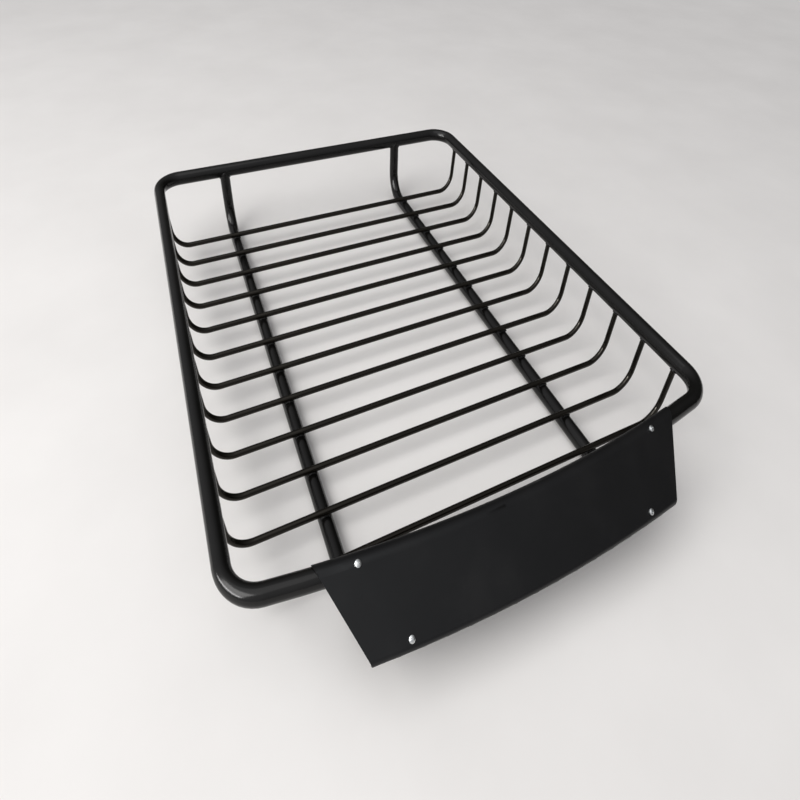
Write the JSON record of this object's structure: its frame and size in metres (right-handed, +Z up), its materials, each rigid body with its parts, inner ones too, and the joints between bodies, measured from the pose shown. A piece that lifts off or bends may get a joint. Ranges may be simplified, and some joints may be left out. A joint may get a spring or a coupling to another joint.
{
  "type": "roof cargo basket",
  "caption": "Black steel roof basket: round-tube rim with bowed front, U-shaped crossbars on two runners, and a sloping sheet-metal wind fairing.",
  "frame": {"origin": "centre of the footprint, level with the underside of the runners", "axes": "+Z up, front and fairing towards -Y, +X to the right seen from the front side looking along +Y"},
  "size_m": [0.96, 1.2667, 0.1643],
  "materials": {
    "tube_powder_coat": "smooth black powder coat, satin to gloss",
    "fairing_powder_coat": "black powder coat over sheet, satin",
    "zinc_screw": "bright zinc plating",
    "zinc_nut": "zinc plating, slightly dull",
    "rivet_nut": "yellow zinc plating"
  },
  "bodies": {
    "root": {"rim_tube": "tube_powder_coat", "crossbar_01": "tube_powder_coat", "crossbar_02": "tube_powder_coat", "crossbar_03": "tube_powder_coat", "crossbar_04": "tube_powder_coat", "crossbar_05": "tube_powder_coat", "crossbar_06": "tube_powder_coat", "crossbar_07": "tube_powder_coat", "crossbar_08": "tube_powder_coat", "crossbar_09": "tube_powder_coat", "crossbar_10": "tube_powder_coat", "crossbar_11": "tube_powder_coat", "crossbar_12": "tube_powder_coat", "runner_left": "tube_powder_coat", "runner_right": "tube_powder_coat", "fairing_panel": "fairing_powder_coat", "fairing_stay_left": "tube_powder_coat", "fairing_stay_right": "tube_powder_coat", "fairing_top_screws": "zinc_screw", "fairing_bottom_screws": "zinc_screw", "rim_rivet_nuts": "rivet_nut", "stay_washers": "zinc_nut", "stay_nuts": "zinc_nut"}
  },
  "joints": []
}
